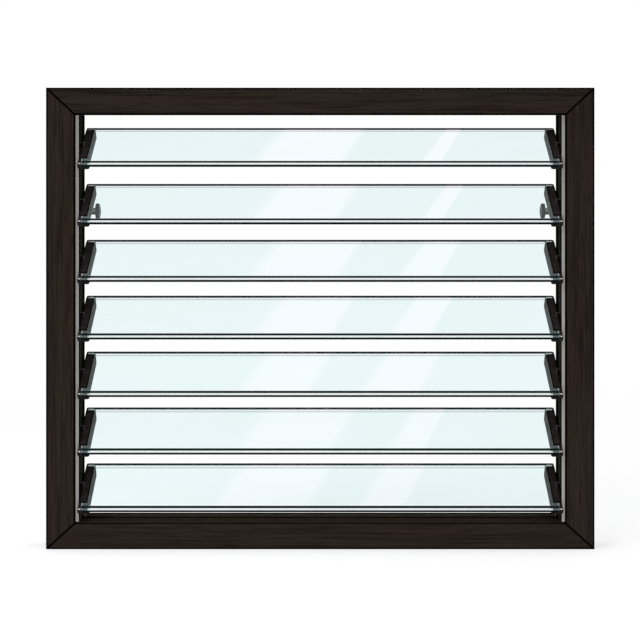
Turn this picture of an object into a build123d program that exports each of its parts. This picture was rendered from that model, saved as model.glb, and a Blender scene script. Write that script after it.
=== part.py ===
from build123d import *
from math import cos, radians, sin
import os

# Adjustable glass louvre window in a mitred frame, millimetres.
# X runs along the window, -Y is the outside, +Z is up.
# The origin is the middle of the sill's underside.

# Frame
overall_width = 858
overall_height = 722
frame_depth = 80
jamb_face = 45.8
head_face = 42.8
sill_face = 41
frame_wall = 1.8
partition_setback = 44
edge_round = 1
lip_reach = 12
lip_wall = 2
lip_return = 5
upstand_setback = 60
upstand_wall = 2
upstand_height = 7.5

# Fixing holes through the jambs
fixing_radius = 3
fixing_inset = 121

# Galleries, the upright channels that carry the clips
gallery_setback = 16.4
gallery_depth = 45
gallery_wall = 1.6
gallery_proud = 3
gallery_lip = 2.9
strip_wall = 1.2
strip_leg = 7
end_play = 0.4

# Glass blades
blade_spacing = 90
blade_width = 102
blade_tilt = 51
glass_thickness = 6
glass_arris = 0.7
glass_to_gallery = 6.2
stack_drop = 3.7
pivot_setback = 38

# Clips, the channels that hold the ends of the glass
glass_clearance = 0.2
glass_end_clearance = 0.3
clip_clearance = 0.6
clip_rake = 4
front_flange_wall = 1.6
front_flange_reach = 13.6
front_flange_length = 78.5
front_flange_gap = 9
rear_flange_wall = 3
rear_flange_reach = 18
rear_flange_bevel = 20
rear_flange_bevel_width = 4.4
toe_length = 1
clip_head_gap = 1.5
clip_corner = 2

# Hubs, which turn in the galleries, and the crank pins on their ends
hub_radius = 8
hub_end = 1.2
running_clearance = 0.1
crank_radius = 5
crank_pin_radius = 2.3
crank_pin_end = 0.8

# Link bars, which join the crank pins inside the galleries
link_width = 12
link_wall = 2
link_gap = 2.2

# Knobs, on the room side of one blade
knob_blade = 2
knob_arm = 17.6
knob_arm_wall = 2.5
knob_boss_radius = 6.5
knob_shaft_radius = 5.5
knob_shaft_length = 17.2
knob_head_radius = 12.3
knob_head_wall = 6.6

# Places that follow from the sizes above
half_width = overall_width / 2
front = -frame_depth / 2
rear = frame_depth / 2
jamb_lip_x = half_width - jamb_face
jamb_wall_x = jamb_lip_x + lip_reach
head_lip_z = overall_height - head_face
soffit_z = head_lip_z + lip_reach * head_face / jamb_face
partition_y = front + partition_setback
gallery_front = front + gallery_setback
gallery_rear = gallery_front + gallery_depth
gallery_x = jamb_lip_x - gallery_proud
gallery_lip_x = gallery_x - gallery_lip
channel_x = gallery_x + gallery_wall
channel_top = soffit_z - end_play
pivot_y = front + pivot_setback
fixing_y = (gallery_rear + rear) / 2
glass_end_x = gallery_x - glass_to_gallery
clip_seat_x = glass_end_x + glass_end_clearance
seat_half = glass_thickness / 2 + glass_clearance
half_blade = blade_width / 2
clip_toe_y = -half_blade - toe_length
clip_head_y = half_blade - clip_head_gap
bevel_foot = clip_head_y - rear_flange_bevel
flange_head = half_blade - front_flange_gap
flange_end = flange_head - front_flange_length
hub_end_x = channel_x + hub_end
link_x = channel_x + link_gap
blade_count = int((soffit_z - sill_face - blade_width) // blade_spacing) + 1
blade_numbers = range(1, blade_count + 1)
sides = {"left": -1, "right": 1}

across = Vector(0, sin(radians(blade_tilt)), cos(radians(blade_tilt)))
normal = Vector(0, -cos(radians(blade_tilt)), sin(radians(blade_tilt)))


def pivot_z(number):
    """Height of a blade's pivot, counted from the top blade."""
    stack_middle = (sill_face + soffit_z) / 2 - stack_drop
    return stack_middle + ((blade_count + 1) / 2 - number) * blade_spacing


def crank_point(reach, side):
    """Point behind a blade in a side plane, whose axes are side * Y and Z."""
    return (-side * normal.Y * reach, -normal.Z * reach)


def side_plane(side, x, number):
    """Plane square to the window at a blade's pivot, facing the jamb."""
    origin = (side * x, pivot_y, pivot_z(number))
    return Plane(origin=origin, x_dir=(0, side, 0), z_dir=(side, 0, 0))


def blade_plane(number, offset):
    """Plane of a blade, offset along the normal of its outer face."""
    origin = Vector(0, pivot_y, pivot_z(number)) + normal * offset
    return Plane(origin=origin, x_dir=(1, 0, 0), z_dir=normal)


def clip_outer(along):
    """Outer edge of a clip, which is raked outward towards the front edge of the glass."""
    front_corner = gallery_x - clip_clearance
    return front_corner - clip_rake * (along + half_blade) / blade_width


def rear_flange_inner(along):
    """Inner edge of a clip's rear flange."""
    return clip_outer(along) - rear_flange_reach


def sill_mitre(side):
    """Mitre plane between a jamb and the sill, facing the jamb."""
    origin = (side * half_width, 0, 0)
    return Plane(origin=origin, x_dir=(0, 1, 0), z_dir=(side * sill_face, 0, jamb_face))


def head_mitre(side):
    """Mitre plane between a jamb and the head, facing the jamb."""
    origin = (side * half_width, 0, overall_height)
    return Plane(origin=origin, x_dir=(0, 1, 0), z_dir=(side * head_face, 0, -jamb_face))


def chambers(across_low, across_high, depth_first):
    """Two hollow chambers of an extrusion, either side of its partition."""
    spans = [
        (front + frame_wall, partition_y - frame_wall / 2),
        (partition_y + frame_wall / 2, rear - frame_wall),
    ]
    middle = (across_low + across_high) / 2
    breadth = abs(across_high - across_low) - 2 * frame_wall
    for start, end in spans:
        centre = (start + end) / 2
        if depth_first:
            with Locations((centre, middle)):
                Rectangle(end - start, breadth, mode=Mode.SUBTRACT)
        else:
            with Locations((middle, centre)):
                Rectangle(breadth, end - start, mode=Mode.SUBTRACT)


os.makedirs("parts", exist_ok=True)

# Sill: a two-chamber extrusion with an upstand behind the blades, notched round the jambs
with BuildPart() as sill:
    with BuildSketch(Plane.YZ) as sill_profile:
        with Locations((0, sill_face / 2)):
            Rectangle(frame_depth, sill_face)
        fillet(sill_profile.vertices().group_by(Axis.X)[0], edge_round)
        chambers(0, sill_face, True)
    extrude(amount=half_width, both=True)
    with BuildSketch(Plane.YZ) as upstand_profile:
        with Locations((front + upstand_setback, sill_face)):
            Rectangle(upstand_wall, upstand_height, align=(Align.MIN, Align.MIN))
    extrude(amount=gallery_lip_x - end_play, both=True)
    mitre_z = sill_face * (half_width - jamb_wall_x) / jamb_face
    for side in sides.values():
        with BuildSketch(Plane.XZ) as jamb_seat:
            with BuildLine():
                Polyline(
                    (side * jamb_wall_x, mitre_z),
                    (side * half_width, 0),
                    (side * half_width, sill_face),
                    (side * jamb_wall_x, sill_face),
                    close=True,
                )
            make_face()
        extrude(amount=rear, both=True, mode=Mode.SUBTRACT)
        with BuildSketch(Plane.XZ.offset(rear)) as lip_seat:
            with BuildLine():
                Polyline(
                    (side * jamb_wall_x, mitre_z),
                    (side * jamb_wall_x, sill_face),
                    (side * jamb_lip_x, sill_face),
                    close=True,
                )
            make_face()
        extrude(amount=-lip_return, mode=Mode.SUBTRACT)
sill.part.label = "frame_sill"
export_step(sill.part, "parts/frame_sill.step")

# Head: a two-chamber extrusion whose front lip hides the soffit, mitred at both ends
with BuildPart() as head:
    with BuildSketch(Plane.YZ) as head_profile:
        with BuildLine():
            Polyline(
                (front, overall_height),
                (front, head_lip_z),
                (front + lip_return, head_lip_z),
                (front + lip_return, head_lip_z + lip_wall),
                (front + lip_wall, head_lip_z + lip_wall),
                (front + lip_wall, soffit_z),
                (rear, soffit_z),
                (rear, overall_height),
                close=True,
            )
        make_face()
        fillet(head_profile.vertices().group_by(Axis.X)[0], edge_round)
        chambers(soffit_z, overall_height, True)
    extrude(amount=half_width, both=True)
    for side in sides.values():
        split(bisect_by=head_mitre(side), keep=Keep.BOTTOM)
head.part.label = "frame_head"
export_step(head.part, "parts/frame_head.step")

# Jambs: two-chamber extrusions with a front lip, mitred to the head and the sill
for side_name, side in sides.items():
    with BuildPart() as jamb:
        with BuildSketch(Plane.XY) as jamb_profile:
            with BuildLine():
                Polyline(
                    (side * half_width, front),
                    (side * jamb_lip_x, front),
                    (side * jamb_lip_x, front + lip_return),
                    (side * (jamb_lip_x + lip_wall), front + lip_return),
                    (side * (jamb_lip_x + lip_wall), front + lip_wall),
                    (side * jamb_wall_x, front + lip_wall),
                    (side * jamb_wall_x, rear),
                    (side * half_width, rear),
                    close=True,
                )
            make_face()
            fillet(jamb_profile.vertices().group_by(Axis.Y)[0], edge_round)
            chambers(side * jamb_wall_x, side * half_width, False)
        extrude(amount=overall_height)
        split(bisect_by=sill_mitre(side), keep=Keep.TOP)
        split(bisect_by=head_mitre(side), keep=Keep.TOP)
        outer_face = Plane(
            origin=(side * half_width, fixing_y, overall_height / 2),
            x_dir=(0, side, 0),
            z_dir=(side, 0, 0),
        )
        with Locations(outer_face):
            with GridLocations(0, overall_height - 2 * fixing_inset, 1, 2):
                Hole(fixing_radius, depth=jamb_face)
    jamb.part.label = f"jamb_{side_name}"
    export_step(jamb.part, f"parts/jamb_{side_name}.step")

# Galleries: channels with a round hole for the hub of each clip
for side_name, side in sides.items():
    with BuildPart() as gallery:
        with BuildSketch(Plane.XY.offset(sill_face)) as gallery_profile:
            with BuildLine():
                Polyline(
                    (side * jamb_wall_x, gallery_front),
                    (side * gallery_x, gallery_front),
                    (side * gallery_x, gallery_rear - gallery_wall),
                    (side * gallery_lip_x, gallery_rear - gallery_wall),
                    (side * gallery_lip_x, gallery_rear),
                    (side * jamb_wall_x, gallery_rear),
                    (side * jamb_wall_x, gallery_rear - gallery_wall),
                    (side * channel_x, gallery_rear - gallery_wall),
                    (side * channel_x, gallery_front + gallery_wall),
                    (side * jamb_wall_x, gallery_front + gallery_wall),
                    close=True,
                )
            make_face()
        extrude(amount=channel_top - sill_face)
        for number in blade_numbers:
            with BuildSketch(side_plane(side, gallery_x, number)):
                Circle(hub_radius + running_clearance)
            extrude(amount=gallery_wall, mode=Mode.SUBTRACT)
    gallery.part.label = f"gallery_{side_name}"
    export_step(gallery.part, f"parts/gallery_{side_name}.step")

# Weather strips: bright angles on the front of the galleries, which the closed blades meet
for side_name, side in sides.items():
    with BuildPart() as strip:
        with BuildSketch(Plane.XY.offset(sill_face)) as strip_profile:
            with BuildLine():
                Polyline(
                    (side * gallery_x, gallery_front),
                    (side * gallery_x, gallery_front - strip_wall),
                    (side * (jamb_wall_x - strip_wall), gallery_front - strip_wall),
                    (side * (jamb_wall_x - strip_wall), gallery_front - strip_leg),
                    (side * jamb_wall_x, gallery_front - strip_leg),
                    (side * jamb_wall_x, gallery_front),
                    close=True,
                )
            make_face()
        extrude(amount=channel_top - sill_face)
    strip.part.label = f"weather_strip_{side_name}"
    export_step(strip.part, f"parts/weather_strip_{side_name}.step")

# Link bars: flat bars inside the galleries with a hole for each crank pin
for side_name, side in sides.items():
    with BuildPart() as link:
        with BuildSketch(side_plane(side, link_x, (blade_count + 1) / 2)) as link_profile:
            with Locations(crank_point(crank_radius, side)):
                SlotCenterToCenter((blade_count - 1) * blade_spacing, link_width, rotation=90)
                with GridLocations(0, blade_spacing, 1, blade_count):
                    Circle(crank_pin_radius + running_clearance, mode=Mode.SUBTRACT)
        extrude(amount=link_wall)
    link.part.label = f"link_bar_{side_name}"
    export_step(link.part, f"parts/link_bar_{side_name}.step")

# Glass blades with flat polished long edges, whose corners are taken off
for number in blade_numbers:
    with BuildPart() as blade:
        left_end = Plane(origin=(-glass_end_x, pivot_y, pivot_z(number)), x_dir=across, z_dir=(1, 0, 0))
        with BuildSketch(left_end):
            glass_section = Rectangle(blade_width, glass_thickness)
            chamfer(glass_section.vertices(), glass_arris)
        extrude(amount=2 * glass_end_x)
    blade.part.label = f"glass_blade_{number}"
    export_step(blade.part, f"parts/glass_blade_{number}.step")

# Clips: each grips one end of a blade and has a hub that turns in the gallery, with a crank pin on its end
for number in blade_numbers:
    for side_name, side in sides.items():
        with BuildPart() as clip:
            with BuildSketch(blade_plane(number, -seat_half - rear_flange_wall)) as rear_flange:
                with BuildLine():
                    Polyline(
                        (side * clip_outer(clip_toe_y), clip_toe_y),
                        (side * clip_outer(clip_head_y), clip_head_y),
                        (side * (rear_flange_inner(clip_head_y) + rear_flange_bevel_width), clip_head_y),
                        (side * rear_flange_inner(bevel_foot), bevel_foot),
                        (side * rear_flange_inner(clip_toe_y), clip_toe_y),
                        close=True,
                    )
                make_face()
                chamfer(rear_flange.vertices().group_by(Axis.Y)[0], clip_corner)
            extrude(amount=rear_flange_wall)
            with BuildSketch(blade_plane(number, -seat_half)):
                with BuildLine():
                    Polyline(
                        (side * clip_seat_x, clip_toe_y),
                        (side * clip_outer(clip_toe_y), clip_toe_y),
                        (side * clip_outer(clip_head_y), clip_head_y),
                        (side * clip_seat_x, clip_head_y),
                        close=True,
                    )
                make_face()
            extrude(amount=2 * seat_half)
            with BuildSketch(blade_plane(number, seat_half)) as front_flange:
                with BuildLine():
                    Polyline(
                        (side * clip_outer(flange_end), flange_end),
                        (side * clip_outer(flange_head), flange_head),
                        (side * (clip_outer(flange_head) - front_flange_reach), flange_head),
                        (side * (clip_outer(flange_end) - front_flange_reach), flange_end),
                        close=True,
                    )
                make_face()
                top_corners = front_flange.vertices().group_by(Axis.Y)[-1]
                chamfer(top_corners.sort_by(Axis((0, 0, 0), (-side, 0, 0)))[-1], clip_corner)
            extrude(amount=front_flange_wall)
            with BuildSketch(side_plane(side, clip_seat_x, number)):
                Circle(hub_radius)
            extrude(amount=hub_end_x - clip_seat_x)
            with BuildSketch(side_plane(side, hub_end_x, number)):
                with Locations(crank_point(crank_radius, side)):
                    Circle(crank_pin_radius)
            extrude(amount=link_x + link_wall + crank_pin_end - hub_end_x)
            if number == knob_blade:
                with BuildSketch(side_plane(side, clip_seat_x, number)):
                    Circle(hub_radius)
                    with Locations(crank_point(knob_arm, side)):
                        Circle(knob_boss_radius)
                    make_hull()
                extrude(amount=knob_arm_wall)
        clip.part.label = f"clip_{side_name}_{number}"
        export_step(clip.part, f"parts/clip_{side_name}_{number}.step")

# Knobs on the arms of one blade, each a shaft and a round head
for side_name, side in sides.items():
    with BuildPart() as knob:
        for start, length, radius in [
            (clip_seat_x, knob_shaft_length, knob_shaft_radius),
            (clip_seat_x - knob_shaft_length, knob_head_wall, knob_head_radius),
        ]:
            with BuildSketch(side_plane(side, start, knob_blade)):
                with Locations(crank_point(knob_arm, side)):
                    Circle(radius)
            extrude(amount=-length)
    knob.part.label = f"knob_{side_name}"
    export_step(knob.part, f"parts/knob_{side_name}.step")
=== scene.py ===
import bpy
from math import cos, hypot, pi, radians, sin, tan
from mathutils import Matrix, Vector


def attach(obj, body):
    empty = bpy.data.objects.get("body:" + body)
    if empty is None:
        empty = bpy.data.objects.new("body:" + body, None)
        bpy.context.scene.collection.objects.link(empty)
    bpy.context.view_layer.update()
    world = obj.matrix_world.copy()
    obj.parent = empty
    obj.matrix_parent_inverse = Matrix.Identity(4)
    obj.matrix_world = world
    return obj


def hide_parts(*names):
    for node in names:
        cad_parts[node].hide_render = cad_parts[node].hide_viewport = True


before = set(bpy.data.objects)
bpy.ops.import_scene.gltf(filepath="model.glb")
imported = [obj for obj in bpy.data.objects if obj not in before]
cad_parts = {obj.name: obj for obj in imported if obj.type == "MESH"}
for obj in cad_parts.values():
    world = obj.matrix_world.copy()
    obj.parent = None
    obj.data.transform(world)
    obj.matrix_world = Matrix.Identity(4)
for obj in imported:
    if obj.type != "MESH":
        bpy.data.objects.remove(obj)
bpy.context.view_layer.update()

# The outer frame: four aluminium extrusions, mitred at the corners and wrapped in a dark
# wood-grain foil, whose grain runs along each one. The open joints of the mitres take up
# dirt, and they and the corners of each section show as fine black lines.


class Wire:
    """One socket of a shader. Sums and products of wires add Math nodes beside it."""

    def __init__(self, socket):
        self.socket = socket

    def node(self, kind, settings, values, output=0):
        """Adds a node of a kind: its settings come first, then its values and links."""
        tree = self.socket.id_data
        made = tree.nodes.new("ShaderNode" + kind)
        for name, value in settings.items():
            setattr(made, name, value)
        for key, value in values.items():
            if isinstance(value, Wire):
                tree.links.new(value.socket, made.inputs[key])
            else:
                made.inputs[key].default_value = value
        return Wire(made.outputs[output])

    def feed(self, node, name):
        self.socket.id_data.links.new(self.socket, node.inputs[name])

    def math(self, operation, *values):
        return self.node("Math", {"operation": operation}, dict(enumerate(values)))

    def step(self, low, high):
        """0 below low and 1 above high, or the other way round, with a soft change between."""
        return self.node("MapRange", {"interpolation_type": "SMOOTHSTEP"},
                         {"Value": self, "From Min": low, "From Max": high})

    def near(self, place, reach):
        """1 close to a place and 0 further away than the reach."""
        return abs(self - place).step(reach, reach * 0.45)

    def either(self, other):
        """The larger of two masks at each place."""
        return self.math("MAXIMUM", self, other)

    def parts(self):
        """The three coordinates of a vector."""
        split = self.node("SeparateXYZ", {}, {"Vector": self}).socket.node
        return [Wire(output) for output in split.outputs]

    def scaled(self, scale):
        return self.node("Mapping", {}, {"Vector": self, "Scale": scale})

    def noise(self, detail, roughness=0.5):
        """Cloud noise on this vector, between about 0.25 and 0.75."""
        return self.node("TexNoise", {},
                         {"Vector": self, "Scale": 1.0, "Detail": detail, "Roughness": roughness})

    def blend(self, first, second):
        """Goes from the first colour to the second as this wire goes from 0 to 1."""
        return self.node("Mix", {"data_type": "RGBA"}, {0: self, 6: first, 7: second}, 2)

    def __add__(self, other):
        return self.math("ADD", self, other)

    def __radd__(self, other):
        return self.math("ADD", other, self)

    def __sub__(self, other):
        return self.math("SUBTRACT", self, other)

    def __rsub__(self, other):
        return self.math("SUBTRACT", other, self)

    def __mul__(self, other):
        return self.math("MULTIPLY", self, other)

    def __rmul__(self, other):
        return self.math("MULTIPLY", other, self)

    def __truediv__(self, other):
        return self.math("DIVIDE", self, other)

    def __mod__(self, other):
        return self.math("FLOORED_MODULO", self, other)

    def __abs__(self):
        return self.math("ABSOLUTE", self)


def paint(red, green, blue):
    """A colour from its three values on a paint chart, 0 to 255."""
    return tuple(((v / 255 + 0.055) / 1.055) ** 2.4 for v in (red, green, blue)) + (1.0,)


def new_finish(name, values):
    """A material of one surface shader with these plain values, the shader, and its place."""
    material = bpy.data.materials.new(name)
    material.use_nodes = True
    surface = material.node_tree.nodes["Principled BSDF"]
    for socket, value in values.items():
        surface.inputs[socket].default_value = value
    place = Wire(material.node_tree.nodes.new("ShaderNodeTexCoord").outputs["Object"])
    return material, surface, place


def emboss(relief, surface, strength, distance):
    """Raises the surface by a relief, as the bump of a finish."""
    bump = relief.node("Bump", {}, {"Height": relief, "Strength": strength, "Distance": distance})
    bump.feed(surface, "Normal")


def dress(names, material):
    """Gives CAD nodes their finish."""
    for name in names:
        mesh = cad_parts[name].data
        mesh.materials.clear()
        mesh.materials.append(material)


half_width, height, half_depth = 0.429, 0.722, 0.040
jamb_face, head_face, sill_face = 0.0458, 0.0428, 0.041
jamb_lip, head_lip = half_width - jamb_face, height - head_face
jamb_wall, soffit = 0.3952, 0.6904
upstand_front, upstand_back, upstand_top = 0.020, 0.022, 0.0485
ledge_middle, ledge_reach, grain_wander = 0.0448, 0.0090, 0.004
mitre_reach, corner_line, sill_line, upstand_line, foot_line = 0.0022, 0.0036, 0.0018, 0.0020, 0.0016
foil_light, foil_red, foil_green = paint(50, 40, 33), paint(46, 33, 29), paint(38, 33, 26)
foil_dark, foil_painted_light, foil_line = paint(24, 18, 15), paint(84, 74, 66), paint(2, 1, 1)


def mitre(ends, from_edge, face):
    """The slanting joint that runs in from a corner of the frame, between a jamb and this face."""
    return (((ends - half_width) * face + from_edge * jamb_face) / hypot(jamb_face, face)).near(0, mitre_reach)


def foil_finish(name, along, corners):
    """Foil with its grain along an axis, and fine black lines on the corners of a section."""

    def drawn_out(vector, lengthwise, crosswise):
        """Scales a pattern finely across the grain and coarsely along it."""
        level = (lengthwise, crosswise, crosswise)
        return vector.scaled(level if along == "X" else level[::-1])

    material, surface, place = new_finish(
        name, {"Roughness": 0.5, "Specular IOR Level": 0.0, "Coat Roughness": 0.32})
    x, y, z = place.parts()
    ends = abs(x)
    flow = drawn_out(place, 2.2, 60).noise(detail=2)
    wander = place.node("VectorMath", {"operation": "MULTIPLY_ADD"},
                        {0: flow.node("CombineXYZ", {}, {"X": flow, "Y": flow, "Z": flow}),
                         1: (grain_wander, grain_wander, grain_wander), 2: place})
    grain = drawn_out(wander, 7, 330).noise(detail=3, roughness=0.6)
    tint = drawn_out(wander, 5, 60).noise(detail=2)
    pores = drawn_out(wander, 34, 1500).noise(detail=1)
    strokes = drawn_out(wander, 24, 430).noise(detail=2)
    mitres = mitre(ends, height - z, head_face).either(mitre(ends, z, sill_face))
    lines = mitres
    section = place.node("CombineXYZ", {}, {"X": z if along == "X" else ends, "Y": y, "Z": 0.0})
    for first, second, reach in corners:
        gap = section.node("VectorMath", {"operation": "DISTANCE"}, {0: section, 1: (first, second, 0)}, 1)
        lines = lines.either(gap.step(reach, reach * 0.55))
    ledge = ends.step(jamb_lip + 0.0005, jamb_lip) * z.near(ledge_middle, ledge_reach)
    ledge_top, upstand = y.step(-0.0392, -0.0385), y.step(0.0180, 0.0195)
    wood = tint.step(0.32, 0.68).blend(foil_green, foil_red)
    wood = (grain.step(0.42, 0.68) * 0.85).blend(wood, foil_light)
    wood = (grain.step(0.48, 0.32) * 0.9).blend(wood, foil_dark)
    wood = (pores.step(0.58, 0.68) * 0.6).blend(wood, foil_dark)
    wood = (strokes.step(0.56, 0.66) * 0.55).blend(wood, foil_dark)
    # Painted light: the sill's top and the front of its upstand are painted lighter, where they lie in the
    # shade of the blades.
    wood = (ledge * (ledge_top * 0.13 + upstand * 0.6)).blend(wood, foil_painted_light)
    (lines * 0.97).blend(wood, foil_line).feed(surface, "Base Color")
    dull = lines.either(ledge * y.step(-half_depth, -0.0385))
    ((1 - dull) * 0.14).feed(surface, "Coat Weight")
    (0.44 + grain * 0.2 + lines * 0.2).feed(surface, "Roughness")
    relief = grain - pores.step(0.62, 0.7) * 0.5 - mitres * 2
    emboss(relief, surface, strength=0.35, distance=0.00025)
    return material


level_corners = [(height, -half_depth, corner_line), (height, half_depth, corner_line),
                 (head_lip, -half_depth, corner_line), (soffit, half_depth, corner_line),
                 (0, -half_depth, corner_line), (0, half_depth, corner_line),
                 (sill_face, -half_depth, sill_line), (sill_face, half_depth, corner_line),
                 (upstand_top, upstand_front, upstand_line), (upstand_top, upstand_back, upstand_line),
                 (sill_face, upstand_front, foot_line)]
upright_corners = [(half_width, -half_depth, corner_line), (half_width, half_depth, corner_line),
                   (jamb_lip, -half_depth, corner_line), (jamb_wall, half_depth, corner_line)]
dress(["frame_head", "frame_sill"], foil_finish("foil_level", "X", level_corners))
dress(["jamb_left", "jamb_right"], foil_finish("foil_upright", "Z", upright_corners))

# The galleries: pressed aluminium channels in black powder coat, screwed to the jambs. The
# hubs of the clips turn in their holes, and the link bars run inside them.

gallery_coat, surface, place = new_finish("gallery_coat", {"Roughness": 0.5, "Specular IOR Level": 0.0})
depth = place.parts()[1]
# Painted shade: the front and back of the channel are painted near black, where shade falls between the blades
# and clips.
painted_shade_front_and_back = depth.step(-0.0100, -0.0135).either(depth.step(0.0150, 0.0180))
dust = place.scaled((30, 30, 9)).noise(detail=4)
orange_peel = place.scaled((900, 900, 900)).noise(detail=2)
coat = dust.step(0.35, 0.75).blend(paint(38, 38, 33), paint(54, 53, 47))
(painted_shade_front_and_back * 0.9).blend(coat, paint(4, 4, 4)).feed(surface, "Base Color")
(0.4 + dust * 0.2).feed(surface, "Roughness")
emboss(orange_peel, surface, strength=0.25, distance=0.0002)
dress(["gallery_left", "gallery_right"], gallery_coat)

# The weather strips: bright mill-finish aluminium angles between the jamb's lip and the
# gallery, drawn through a die, so they carry fine lines along their length.

strip_mill, surface, place = new_finish("strip_mill", {"Metallic": 0.6, "Roughness": 0.4})
drawn = place.scaled((1400, 1400, 5)).noise(detail=2)
stain = place.scaled((40, 40, 12)).noise(detail=4)
brushed = drawn.step(0.3, 0.7).blend(paint(173, 171, 166), paint(193, 191, 186))
(stain.step(0.5, 0.8) * 0.5).blend(brushed, paint(155, 152, 146)).feed(surface, "Base Color")
(0.34 + drawn * 0.14 + stain * 0.1).feed(surface, "Roughness")
emboss(drawn, surface, strength=0.2, distance=0.0001)
dress(["weather_strip_left", "weather_strip_right"], strip_mill)

# The link bars: flat zinc-plated steel that joins the crank pins inside each gallery, so
# that all the blades turn together.

link_zinc, surface, place = new_finish("link_zinc", {"Metallic": 1.0, "Roughness": 0.35})
spangle = place.scaled((220, 220, 120)).noise(detail=2)
rolled = place.scaled((900, 900, 12)).noise(detail=2)
spangle.step(0.35, 0.65).blend(paint(128, 130, 132), paint(168, 170, 170)).feed(surface, "Base Color")
(0.28 + rolled * 0.25).feed(surface, "Roughness")
emboss(rolled, surface, strength=0.15, distance=0.0001)
dress(["link_bar_left", "link_bar_right"], link_zinc)

# The clips: black moulded plastic, one at each end of a blade. The glass is pushed into the
# channel between the two flanges, on to a grey cushion strip, and a hub turns in the gallery.

tilt = radians(51)
blade_numbers, middle_blade = range(1, 8), 4
pivot_y, middle_pivot_z, spacing = -0.002, 0.362007, 0.090
half_blade, half_glass, half_seat = 0.051, 0.003, 0.0032
clip_foot_x, clip_rake, flange_reach = 0.3796, 0.004, 0.0136
flange_foot, flange_head, cushion_foot = -0.0365, 0.0420, -0.0498


def pivot_z(number):
    """How high a blade's pivot is. Blade 1 is the top one."""
    return middle_pivot_z + (middle_blade - number) * spacing


def on_blade(place):
    """Distances from a blade's pivot: across the blade, towards its top, and out of its face."""
    x, y, z = place.parts()
    level = z - (y - pivot_y) / tan(tilt)
    out = ((level - (middle_pivot_z - spacing / 2)) % spacing - spacing / 2) * sin(tilt)
    across = ((y - pivot_y) + out * cos(tilt)) / sin(tilt)
    return abs(x), across, out


clip_plastic, surface, place = new_finish("clip_plastic", {"Roughness": 0.42, "Specular IOR Level": 0.02})
ends, across, out = on_blade(place)
front_flange = out.step(0.0034, 0.0040)
from_edge = ends - (clip_foot_x - clip_rake * (across + half_blade) / (2 * half_blade))
rim = from_edge.near(0, 0.0030).either(from_edge.near(-flange_reach, 0.0030))
rim = rim.either(across.near(flange_head, 0.0036)).either(across.near(flange_foot, 0.0030)) * front_flange
# Painted reflection: below the front flange, the web's face is painted grey-teal, as the glass's veil looks
# over dark plastic.
painted_veil_tip = across.step(flange_foot - 0.0007, flange_foot - 0.0019) * front_flange
# Painted highlight: a near-white spot at the clip's lower outer corner.
painted_glint = across.near(cushion_foot, 0.0018) * ends.near(0.3767, 0.0022)
# A grey cushion strip, tinted teal as a painted reflection of the glass's veil in front of it.
cushion_with_painted_veil = out.near(-half_seat, 0.0012) * ends.step(0.3747, 0.3742)
cushion_with_painted_veil = cushion_with_painted_veil * across.step(cushion_foot, cushion_foot + 0.0004)
# Painted light: the cushion's head is painted pale, where it lies in shade behind the glass.
cushion_top_painted_light = cushion_with_painted_veil * across.step(0.0424, 0.0432)
flow = place.scaled((60, 60, 60)).noise(detail=3)
cloudy = flow.step(0.3, 0.7)
mould_grain = place.scaled((700, 700, 700)).noise(detail=2)
plastic = cloudy.blend(paint(34, 29, 28), paint(46, 40, 38))
plastic = (rim * 0.95).blend(plastic, paint(4, 3, 3))
plastic = (painted_veil_tip * 0.7).blend(plastic, paint(70, 80, 78))
plastic = painted_glint.blend(plastic, paint(205, 212, 208))
plastic = cushion_with_painted_veil.blend(plastic, cloudy.blend(paint(62, 72, 70), paint(84, 94, 91)))
cushion_top_painted_light.blend(plastic, paint(180, 188, 186)).feed(surface, "Base Color")
(0.34 + flow * 0.2).feed(surface, "Roughness")
emboss(mould_grain, surface, strength=0.3, distance=0.0002)
dress([f"clip_{side}_{number}" for side in ("left", "right") for number in blade_numbers], clip_plastic)

# The glass blades: clear float glass 6 mm thick. The long edges are ground flat, so they are
# matt and pale, and the corners taken off them carry dark lines, painted shade for the dark
# look of glass at its edges. The ends sit in the clips, where the face has a painted reflection
# veil at its foot and a band of painted light at its head, and the ground edge is painted
# darker there as shade from the clip behind it. Near the foot the tint is painted clearer, a
# painted highlight.

blade_glass, surface, place = new_finish(
    "blade_glass", {"Roughness": 0.0, "IOR": 1.5, "Transmission Weight": 1.0, "Specular IOR Level": 0.5})
ends, across, out = on_blade(place)
front_face = out.step(0.0018, 0.0024)
in_clip = ends.step(0.3630, 0.3640)
# Painted shade: dark lines along the edges of the glass, for the dark look that glass takes there.
front_line = across.near(-0.0450, 0.0040) * front_face
lower_line = across.step(-0.0490, -0.0496) * out.step(0.0021, 0.0015)
upper_line = across.step(0.0466, 0.0474) * out.step(0.0013, 0.0019)
back_line = across.step(0.0480, 0.0488) * out.step(-0.0016, -0.0022)
end_line = ends.step(0.3724, 0.3732) * across.step(0.0400, 0.0420)
lines = front_line.either(lower_line).either(upper_line).either(back_line).either(end_line)
faint_line = across.near(0.0406, 0.0024) * front_face * 0.3
# Painted reflection: a grey veil over the foot of the face inside the clip.
painted_veil = in_clip * across.step(-0.0432, -0.0424) * across.step(-0.0360, -0.0368) * front_face * 0.3
# Painted light: a pale band at the head of the face inside the clip.
painted_light_band = in_clip * across.step(0.0422, 0.0428) * across.step(0.0476, 0.0468) * front_face
ground_edges = abs(across).step(0.05030, 0.05045).either(across.step(-0.0474, -0.0480) * front_face * 0.5)
ripple = place.scaled((3, 10, 10)).noise(detail=2)
clear = ripple.step(0.35, 0.65).blend((0.858, 0.982, 0.976, 1), (0.873, 0.974, 0.996, 1))
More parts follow.
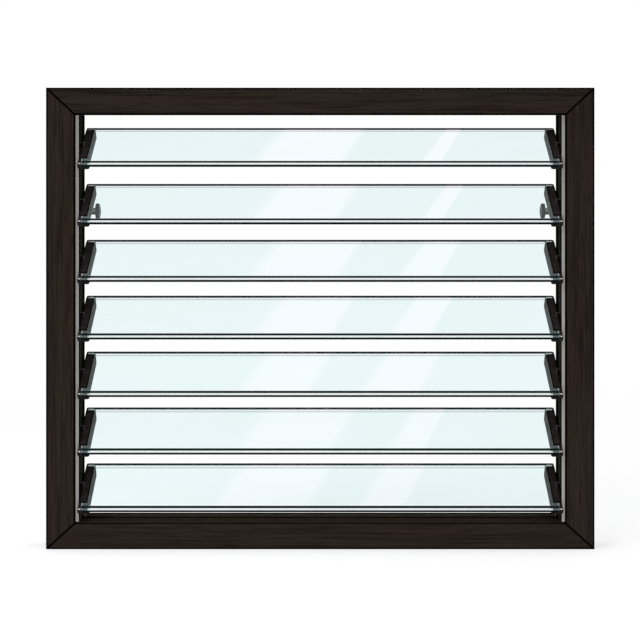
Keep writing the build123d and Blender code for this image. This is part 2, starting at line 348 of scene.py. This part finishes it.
# Painted highlight: the tint is painted almost white near the foot of the face.
painted_highlight_foot = across.step(-0.0385, -0.0410)
(painted_highlight_foot * 0.8).blend(clear, (0.99, 1, 1, 1)).feed(surface, "Base Color")
matt = lines.node("BsdfPrincipled", {}, {"Roughness": 0.5, "Specular IOR Level": 0.0})
grit = place.scaled((260, 900, 900)).noise(detail=3)
pale = grit.step(0.3, 0.7).blend((0.78, 0.86, 0.85, 1), (0.93, 0.96, 0.95, 1))
lower_half = across.step(0.001, -0.001)
# Painted shade: the ground edge is painted dark grey-green on its lower half inside the clip, where the clip
# lies behind it.
pale = (in_clip * lower_half).blend(pale, (0.14, 0.18, 0.175, 1))
# Painted shade: the edge lines and the faint line take a near black colour.
painted_edge_shade = lines.either(faint_line * 4).step(0.15, 0.85)
painted_edge_shade.blend(pale, (0.006, 0.016, 0.017, 1)).feed(matt.socket.node, "Base Color")
cover = lines.either(ground_edges).either(faint_line).either(painted_veil).either(painted_light_band)
covered = lines.node("MixShader", {}, {0: cover, 1: Wire(surface.outputs[0]), 2: matt})
covered.feed(blade_glass.node_tree.nodes["Material Output"], "Surface")
dress([f"glass_blade_{number}" for number in blade_numbers], blade_glass)

# The knobs: dark grey moulded plastic, pushed on to the arms of the second blade on the room
# side. Each is a shaft and a round head with a domed end and dark rims. The shaft's pale top is
# a painted highlight over painted shade beneath, and the pale ring on the head is a painted
# highlight.

knob_blade, knob_arm, knob_seat = 2, 0.0176, 0.3743
shaft_length, shaft_radius, head_wall, head_radius = 0.0172, 0.0055, 0.0066, 0.0123
rim_width, recess_wall, recess_depth = 0.0030, 0.0008, 0.0008
dome_setback, dome_rings = 0.0018, ((0.0012, 0.0008), (0.0022, 0.0007), (0.0030, 0.0005), (0.0030, 0.0002))
corner_width, corner_segments, merge_distance = 0.0009, 3, 0.00002
knob_y = pivot_y + knob_arm * cos(tilt)
knob_z = pivot_z(knob_blade) - knob_arm * sin(tilt)
head_back = knob_seat - shaft_length
head_end = head_back - head_wall

knob_plastic, surface, place = new_finish(
    "knob_plastic", {"Roughness": 0.3, "Specular IOR Level": 0.0, "Coat Weight": 0.04})
x, y, z = place.parts()
ends = abs(x)
from_axis = place.node("CombineXYZ", {}, {"X": 0.0, "Y": y - knob_y, "Z": z - knob_z})
radius = from_axis.node("VectorMath", {"operation": "LENGTH"}, {0: from_axis}, 1)
flow = place.scaled((120, 120, 120)).noise(detail=3)
mould_grain = place.scaled((800, 800, 800)).noise(detail=2)
# Painted highlight: a pale ring on the domed end of the head.
painted_highlight_ring = radius.step(0.0060, 0.0070) * radius.step(0.0108, 0.0100)
painted_highlight_ring = painted_highlight_ring * ends.step(head_back - 0.0040, head_back - 0.0050)
# Painted highlight: the shaft is painted almost white, with painted shade on its underside.
shaft = ends.step(head_back + 0.0002, head_back + 0.0012)
shaft_painted_shade = shaft * (z - knob_z).step(-0.0005, -0.0018)
rims = ends.near(head_back, 0.0014).either(ends.near(head_end, 0.0010)) * radius.step(0.0100, 0.0106)
grey = flow.step(0.3, 0.7).blend(paint(8, 30, 28), paint(18, 44, 40))
grey = painted_highlight_ring.blend(grey, paint(124, 146, 141))
grey = shaft.blend(grey, paint(238, 250, 246))
grey = shaft_painted_shade.blend(grey, paint(16, 34, 31))
rims.blend(grey, paint(4, 12, 11)).feed(surface, "Base Color")
(0.24 + flow * 0.16).feed(surface, "Roughness")
emboss(mould_grain, surface, strength=0.2, distance=0.0002)


def pick_faces(piece, wanted):
    """Leaves edit mode's selection on the faces that are wanted, and nothing else."""
    bpy.ops.object.mode_set(mode="EDIT")
    bpy.ops.mesh.select_mode(type="FACE")
    bpy.ops.mesh.select_all(action="DESELECT")
    bpy.ops.object.mode_set(mode="OBJECT")
    for face in piece.data.polygons:
        face.select = wanted(face)
    bpy.ops.object.mode_set(mode="EDIT")


for side_name, side in (("left", -1), ("right", 1)):
    bpy.ops.object.select_all(action="DESELECT")
    bpy.ops.mesh.primitive_cylinder_add(vertices=72, radius=head_radius, depth=head_wall,
                                        location=(side * (head_back - head_wall / 2), knob_y, knob_z),
                                        rotation=(0, pi / 2, 0))
    knob = bpy.context.object
    knob.name = f"knob_turned_{side_name}"
    bpy.ops.object.transform_apply(location=True, rotation=True, scale=True)
    pick_faces(knob, lambda face: face.normal.x * side < -0.9)
    bpy.ops.transform.translate(value=(side * dome_setback, 0, 0))
    for shrink, rise in dome_rings:
        bpy.ops.mesh.inset(thickness=shrink)
        bpy.ops.transform.translate(value=(side * -rise, 0, 0))
    pick_faces(knob, lambda face: face.normal.x * side > 0.9)
    bpy.ops.mesh.inset(thickness=rim_width)
    bpy.ops.mesh.inset(thickness=recess_wall)
    bpy.ops.transform.translate(value=(side * -recess_depth, 0, 0))
    bpy.ops.mesh.inset(thickness=head_radius - shaft_radius - rim_width - recess_wall)
    bpy.ops.mesh.extrude_region_move(
        TRANSFORM_OT_translate={"value": (side * (shaft_length + recess_depth), 0, 0)})
    bpy.ops.object.mode_set(mode="OBJECT")
    bevel = knob.modifiers.new("soft_corners", "BEVEL")
    bevel.width = corner_width
    bevel.segments = corner_segments
    bevel.limit_method = "ANGLE"
    bevel.angle_limit = radians(35)
    bpy.ops.object.modifier_apply(modifier=bevel.name)
    bpy.ops.object.mode_set(mode="EDIT")
    bpy.ops.mesh.select_all(action="SELECT")
    bpy.ops.mesh.remove_doubles(threshold=merge_distance)
    bpy.ops.object.mode_set(mode="OBJECT")
    bpy.ops.object.shade_smooth_by_angle(angle=radians(40))
    knob.data.materials.append(knob_plastic)
    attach(knob, "root")
    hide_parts(f"knob_{side_name}")
    knob.visible_glossy = False

# The studio: a white floor and surround with one large soft lamp at the upper left. Two cards
# for each blade, with slanting edges, hang over the window and show in the glass as streaks.


def sight(tree):
    """Masks for the rays that look at a shader, also through glass, and for those mirrored to it."""
    rays = tree.nodes.new("ShaderNodeLightPath").outputs
    return Wire(rays["Is Camera Ray"]).either(Wire(rays["Is Transmission Ray"])), Wire(rays["Is Glossy Ray"])


white = (1, 1, 1, 1)
surround_light, front_dimming, overhead_dimming = 0.85, 0.6, 0.5
floor_size, floor_light, back_dimming = 40, 0.53, 0.035

scene = bpy.context.scene
scene.view_settings.view_transform = "Standard"
world = bpy.data.worlds.new("studio")
scene.world = world
world.use_nodes = True
sky = world.node_tree.nodes["Background"]
sky.inputs["Color"].default_value = white
seen, mirrored = sight(world.node_tree)
direction = Wire(world.node_tree.nodes.new("ShaderNodeTexCoord").outputs["Generated"])
back, up = direction.parts()[1:]
room = (1 - front_dimming * back.step(-0.25, -0.85)) * (1 - overhead_dimming * up.step(0.68, 0.84))
unseen_light = mirrored * room + (1 - mirrored) * surround_light
(seen + (1 - seen) * unseen_light).feed(sky, "Strength")

bpy.ops.object.select_all(action="DESELECT")
bpy.ops.mesh.primitive_plane_add(size=floor_size, location=(0, 0, 0))
floor = bpy.context.object
floor.name = "floor"
floor_white, surface, place = new_finish(
    "floor_white", {"Base Color": (0.55, 0.55, 0.55, 1), "Roughness": 0.9, "Specular IOR Level": 0.0,
                    "Emission Strength": 1.0})
seen, mirrored = sight(floor_white.node_tree)
depth = place.parts()[1]
behind = depth.step(0.1, 0.8) * depth.step(4.5, 2.0)
floor_glow = seen.either(mirrored) * (floor_light - behind * back_dimming)
floor_glow.blend((0, 0, 0, 1), white).feed(surface, "Emission Color")
floor.data.materials.append(floor_white)

# The glass mirrors only the surround and the cards, so the rest stays out of its reflections.
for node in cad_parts.values():
    node.visible_glossy = False

card_white = bpy.data.materials.new("card_white")
card_white.use_nodes = True
tree = card_white.node_tree
tree.nodes.remove(tree.nodes["Principled BSDF"])
across_card = Wire(tree.nodes.new("ShaderNodeUVMap").outputs["UV"]).parts()[0]
inside = across_card.step(0.0, 0.22) * across_card.step(1.0, 0.9)
shine = inside.blend((0.5, 0.5, 0.5, 1), (1.96, 1.27, 1.5, 1))
shine.node("Emission", {}, {"Color": shine, "Strength": 1.0}).feed(tree.nodes["Material Output"], "Surface")

camera_place = Vector((-0.0004, -2.542, 0.4186))
face_normal = Vector((0, -cos(tilt), sin(tilt)))
card_height, card_step = 10.0, 0.01
left_slant, right_slant = 0.5, 0.42
left_fade, right_fade = 0.13, 0.06


def mirrored_in(number, x, across):
    """Where the camera, looking at a place on a blade's face, sees the cards in it."""
    place = Vector((x, pivot_y + across * sin(tilt) - half_glass * cos(tilt),
                    pivot_z(number) + across * cos(tilt) + half_glass * sin(tilt)))
    ray = (place - camera_place).normalized()
    ray = ray - 2 * ray.dot(face_normal) * face_normal
    return place + ray * ((card_height + card_step * number - place.z) / ray.z)


# The two ends of each blade's broad streak and of its narrow one, in millimetres from the middle.
streaks = [(-80, 52, 181, 208), (-83, 43, 181, 211), (-89, 46, 146, 206), (-81, 36, 133, 193),
           (-105, 0, 87, 174), (-107, 36, 130, 181), (-145, 0, 82, 149)]
for number, (broad_left, broad_right, narrow_left, narrow_right) in zip(blade_numbers, streaks):
    for kind, left, right in (("broad", broad_left, broad_right), ("narrow", narrow_left, narrow_right)):
        left, right = left - (right - left) * left_fade, right + (right - left) * right_fade
        corners = [mirrored_in(number, x / 1000 + across * slant, across)
                   for across in (-half_blade, half_blade)
                   for x, slant in ((left, left_slant), (right, right_slant))]
        bpy.ops.mesh.primitive_plane_add(size=1, location=(0, 0, 0))
        card = bpy.context.object
        card.name = f"card_{kind}_{number}"
        for vertex, corner in zip(card.data.vertices, corners):
            vertex.co = corner
        card.data.materials.append(card_white)
        card.visible_camera = card.visible_diffuse = card.visible_shadow = False

lamp = bpy.data.lights.new("key", "AREA")
lamp.shape = "DISK"
lamp.size = 2.2
lamp.energy = 34
lamp_object = bpy.data.objects.new("key", lamp)
scene.collection.objects.link(lamp_object)
lamp_object.location = (-1.7, -2.3, 2.5)
lamp_object.rotation_euler = (radians(52), 0, radians(-36))

camera = bpy.data.cameras.new("camera")
camera.lens = 90
camera.sensor_width = 36
camera.shift_y = -0.059952
camera_object = bpy.data.objects.new("camera", camera)
scene.collection.objects.link(camera_object)
camera_object.location = camera_place
camera_object.rotation_euler = (pi / 2, 0, 0)
scene.camera = camera_object
